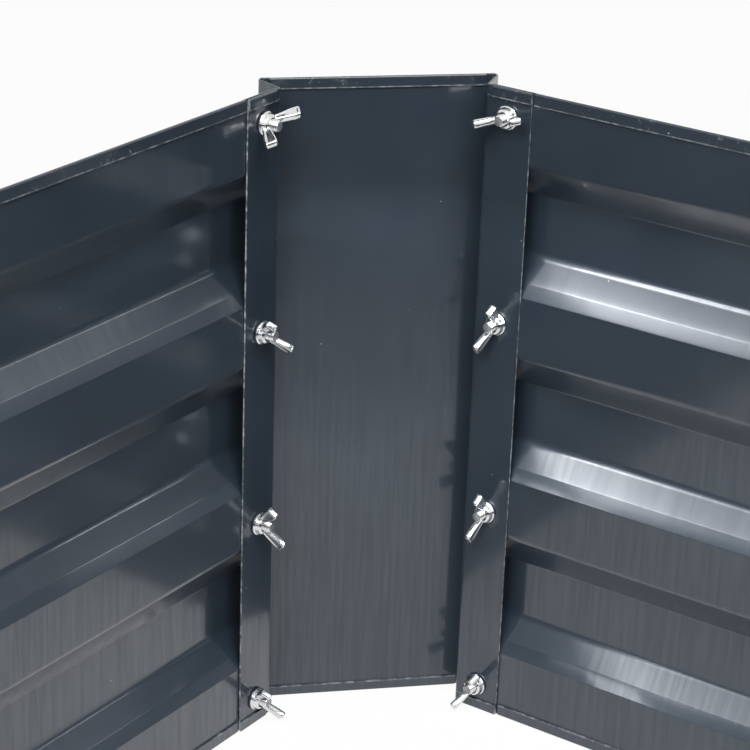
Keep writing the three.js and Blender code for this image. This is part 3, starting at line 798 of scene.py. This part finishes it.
def wing_points():
    """(2, along, across, 3). Along t from root to tip and across s from -1 to 1. The half width w(t) grows to
    the tip and ends in a rounded square. d is the distance to the rim, and the half thickness is
    WING_HALF sqrt(1 - (1 - d / rim)^2) less a shallow sunk face where d is over 1 mm."""
    towards_tip = 0.8 + 0.2 * np.sin(np.linspace(0.15, 1, 10) * np.pi / 2)
    t = np.concatenate([np.linspace(0, 0.8, 9), towards_tip])[:, None]
    s = np.sin(np.linspace(-1, 1, 19) * np.pi / 2)[None, :]
    axis = WING_TIP - WING_ROOT
    length = np.linalg.norm(axis)
    axis = axis / length
    across = np.array([axis[1], -axis[0]])
    widest = 1.75 + 1.15 * np.clip(t / 0.7, 0, 1)
    ending = np.clip((t - 0.72) / 0.28, 0, 1)
    width = widest * (1 - ending ** 5) ** (1 / 5)
    distance = np.minimum(width * (1 - np.abs(s)), (1 - t) * length + 0 * s)
    rim = np.clip(distance / 0.75, 0, 1)
    sunk = 0.45 * np.clip((distance - 0.95) / 0.55, 0, 1) ** 1.5
    half = WING_HALF * np.sqrt(1 - (1 - rim) ** 2) - sunk
    place = WING_ROOT + (t * length)[..., None] * axis + (s * width)[..., None] * across
    top = np.concatenate([place, half[..., None]], axis=-1)
    return np.stack([top, top * [1, 1, -1]])


def wing_mesh(mirror):
    """Both faces of a wing joined round the outline, and closed at the root."""
    sides = wing_points()
    along, over = sides.shape[1:3]
    if mirror:
        sides = sides * [-1, 1, 1]
    i, j = np.arange(along - 1)[:, None], np.arange(over - 1)[None, :]
    at = lambda k, r, c: k * along * over + r * over + c
    faces = np.concatenate([
        np.stack([at(k, i, j), at(k, i, j + 1), at(k, i + 1, j + 1), at(k, i + 1, j)], axis=-1).reshape(-1, 4)
        for k in (0, 1)]).tolist()
    c = np.arange(over)
    faces.append(np.concatenate([at(0, 0, c), at(1, 0, c[::-1])]).tolist())
    piece = link_mesh("wing", sides * MM, faces)
    weld = piece.modifiers.new("weld", "WELD")
    weld.merge_threshold = WELD_REACH * MM
    apply_modifiers(piece)
    outward(piece)
    return piece

# %% Hub and joined nut
def hub_mesh(sides=40):
    """A closed ring turned about Y: foot, cone, rounded shoulder, top and bore as (radius, height)."""
    foot, top = SEAT_GAP, SEAT_GAP + NUT_HUB_HEIGHT
    outline = rounded([(NUT_BORE + 0.5, foot), (NUT_BASE_RADIUS, foot), (NUT_BASE_RADIUS, foot + 1.0),
                       (NUT_TOP_RADIUS + 0.6, foot + 1.5), (NUT_TOP_RADIUS, top - 0.7),
                       (NUT_BORE + 0.5, top)], 0.35, 4)
    outline = np.concatenate([outline, [(NUT_BORE, top - 0.5), (NUT_BORE, foot + 0.5)]])
    angle = np.linspace(0, 2 * np.pi, sides, endpoint=False)
    radius, height = outline[:, :1], outline[:, 1:]
    points = np.stack([radius * np.cos(angle), height + 0 * angle, radius * np.sin(angle)], axis=-1)
    hub = grid_object("wing_nut_pattern", points * MM, closed_rows=True, closed_columns=True)
    outward(hub)
    return hub


nut_piece = hub_mesh()
for mirror in (False, True):
    wing = wing_mesh(mirror)
    union = nut_piece.modifiers.new("wing", "BOOLEAN")
    union.operation, union.solver, union.object = "UNION", "EXACT", wing
    apply_modifiers(nut_piece)
    bpy.data.objects.remove(wing)
finish_piece(nut_piece, zinc, smooth_angle=40, weighted=False)
print("wing nut:", len(nut_piece.data.polygons), "faces")

# %% [markdown]
# ## Setting the bolts and nuts
# Each bolt points into the bed through the middle of a flange. The nuts at the corner in the picture keep the
# angles they have there. The others were tightened by hand too, so each one stands at its own angle.

# %% Place them all
NUT_TURNS = {"long": (27, 133, 111, 126), "short": (14, 72, 80, 60)}
NUT_TURN_STEP = 67


def seat(x, y, quarter_turns, flange, height):
    """Where a bolt sits: +Y of the pattern turns to point into the bed on that flange (0 or 1)."""
    local = (-BOLT_PLACE * MM, 0, height * MM) if flange == 0 else (0, -BOLT_PLACE * MM, height * MM)
    corner = Matrix.Translation((x * MM, y * MM, 0)) @ Matrix.Rotation(np.pi / 2 * quarter_turns, 4, "Z")
    return corner @ Matrix.Translation(local) @ Matrix.Rotation(np.pi if flange == 0 else np.pi / 2, 4, "Z")


def set_piece(name, parts, body, node):
    """One object from copies of pattern meshes, each with its place. It rides on body and stands for node."""
    (first, first_place), *others = parts
    made = bpy.data.objects.new(name, first.data.copy())
    bpy.context.scene.collection.objects.link(made)
    made.data.transform(first_place)
    for pattern, place in others:
        other = bpy.data.objects.new("part", pattern.data.copy())
        bpy.context.scene.collection.objects.link(other)
        other.data.transform(place)
        both = [made, other]
        with bpy.context.temp_override(active_object=made, object=made, selected_objects=both,
                                       selected_editable_objects=both):
            bpy.ops.object.join()
    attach(made, body)
    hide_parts(node)


placed = 0
for c, (corner, x, y, quarter_turns, flanges) in enumerate(CORNERS):
    for s, flange in enumerate(flanges):
        for row, height in enumerate(ROW_HEIGHTS):
            end = f"{corner}_{flange}_{row + 1}"
            where = seat(x, y, quarter_turns, s, height)
            if c == 0:
                twist = Matrix.Rotation(np.radians(NUT_TURNS[flange][row]), 4, "Y")
                bolt, nut = "bolt_" + end, "wing_nut_" + end
                set_piece("threaded_bolt_" + end, [(bolt_piece, where)], bolt, bolt)
                set_piece("formed_nut_" + end, [(nut_piece, where @ twist)], nut, nut)
            else:
                angle = np.radians((NUT_TURN_STEP * (row + BOLT_ROWS * (s + 2 * c))) % 180)
                twist = Matrix.Rotation(angle, 4, "Y")
                set_piece("tightened_set_" + end, [(nut_piece, where @ twist), (bolt_piece, where)], "bed",
                          "bolt_and_nut_" + end)
            placed += 1
for pattern in (bolt_piece, nut_piece):
    bpy.data.objects.remove(pattern)
print("bolts with nuts placed:", placed)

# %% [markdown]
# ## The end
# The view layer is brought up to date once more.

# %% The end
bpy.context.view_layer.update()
